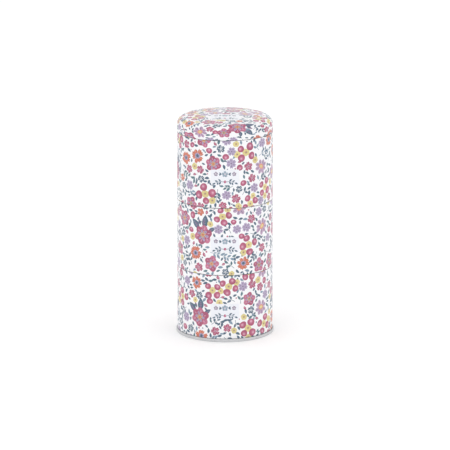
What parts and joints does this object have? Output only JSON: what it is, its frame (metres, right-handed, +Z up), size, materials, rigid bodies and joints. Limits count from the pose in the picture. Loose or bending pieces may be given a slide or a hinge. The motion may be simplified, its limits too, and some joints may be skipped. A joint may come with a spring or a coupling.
{
  "type": "stacking storage tin",
  "caption": "Round tower of printed tinplate tins that plug together by inner collars under one slip lid, for keeping hair clips and other small things.",
  "frame": {"origin": "centre of the ring that the stack stands on, at its lowest plane", "axes": "+Z up along the axis of the tins, -Y towards the front with the label panels, the walls' lock seams at +Y"},
  "size_m": [0.0799, 0.08, 0.1816],
  "materials": {
    "wall_print": "white ground with a small floral print under gloss varnish",
    "lid_print": "white ground with a small floral print under gloss varnish",
    "collar_tinplate": "bright drawn tinplate",
    "pan_tinplate": "bright pressed tinplate",
    "base_tinplate": "bright pressed tinplate with a rolled rim"
  },
  "bodies": {
    "bottom_tin": {"bottom_wall": "wall_print", "bottom_collar": "collar_tinplate", "base_end": "base_tinplate"},
    "middle_tin": {"middle_wall": "wall_print", "middle_collar": "collar_tinplate", "middle_floor_pan": "pan_tinplate"},
    "top_tin": {"top_wall": "wall_print", "top_collar": "collar_tinplate", "top_floor_pan": "pan_tinplate"},
    "lid": {"lid_shell": "lid_print"}
  },
  "joints": [
    {"name": "middle_tin_lift", "type": "slide", "parent": "bottom_tin", "child": "middle_tin", "axis": [0, 0, 1], "range_m": [0, 0.08]},
    {"name": "top_tin_lift", "type": "slide", "parent": "middle_tin", "child": "top_tin", "axis": [0, 0, 1], "range_m": [0, 0.08]},
    {"name": "lid_lift", "type": "slide", "parent": "top_tin", "child": "lid", "axis": [0, 0, 1], "range_m": [0, 0.08]}
  ]
}
